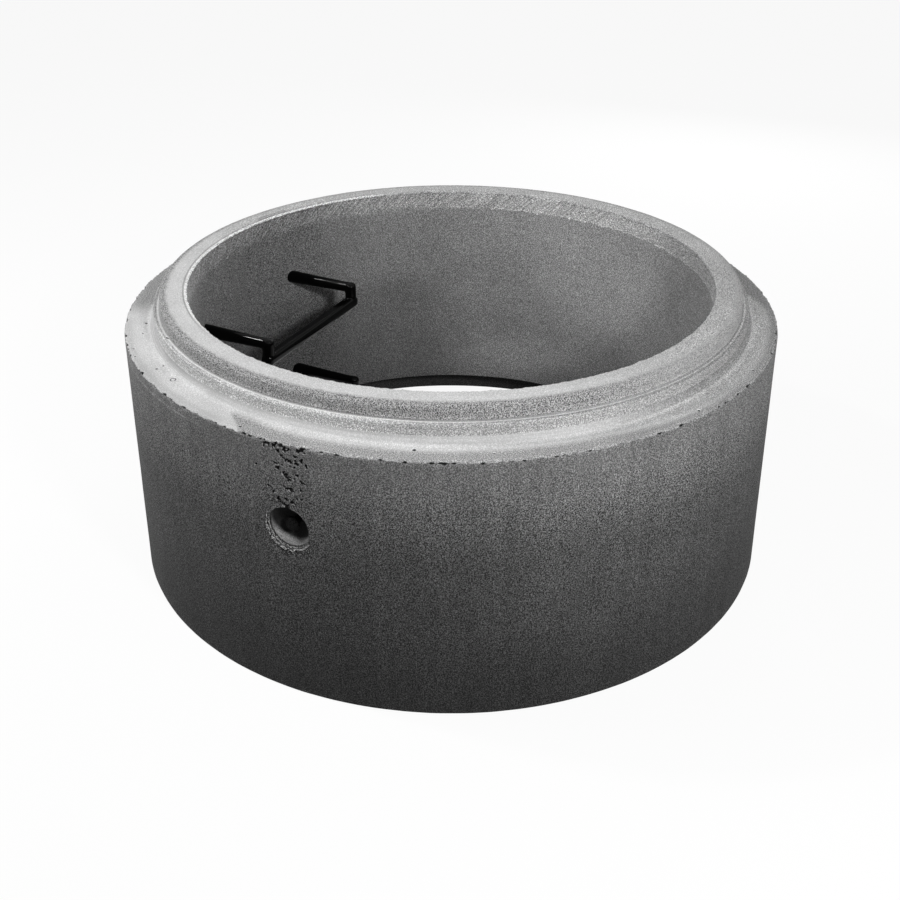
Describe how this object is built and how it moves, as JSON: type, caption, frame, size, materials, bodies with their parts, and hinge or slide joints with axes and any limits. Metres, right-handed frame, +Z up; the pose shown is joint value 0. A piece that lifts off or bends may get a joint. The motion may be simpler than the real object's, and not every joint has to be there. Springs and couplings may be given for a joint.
{
  "type": "concrete manhole ring",
  "caption": "Upright precast concrete shaft ring with a stepped spigot on top, a socket below, black coated step irons inside and round lifting pockets outside.",
  "frame": {"origin": "on the ring's axis, at the level of the bottom rim", "axes": "+Z up along the ring's axis, +Y towards the step irons, +X along their treads"},
  "size_m": [1.24, 1.2396, 0.54],
  "materials": {
    "concrete": "grey precast concrete, fine-grained, with pale joint faces and dark cast walls",
    "step_coating": "glossy black moulded coating",
    "anchor_steel": "dull forged steel"
  },
  "bodies": {
    "root": {"concrete_ring": "concrete", "step_iron_lower": "step_coating", "step_iron_upper": "step_coating", "lifting_anchor_1": "anchor_steel", "lifting_anchor_2": "anchor_steel", "lifting_anchor_3": "anchor_steel"}
  },
  "joints": []
}
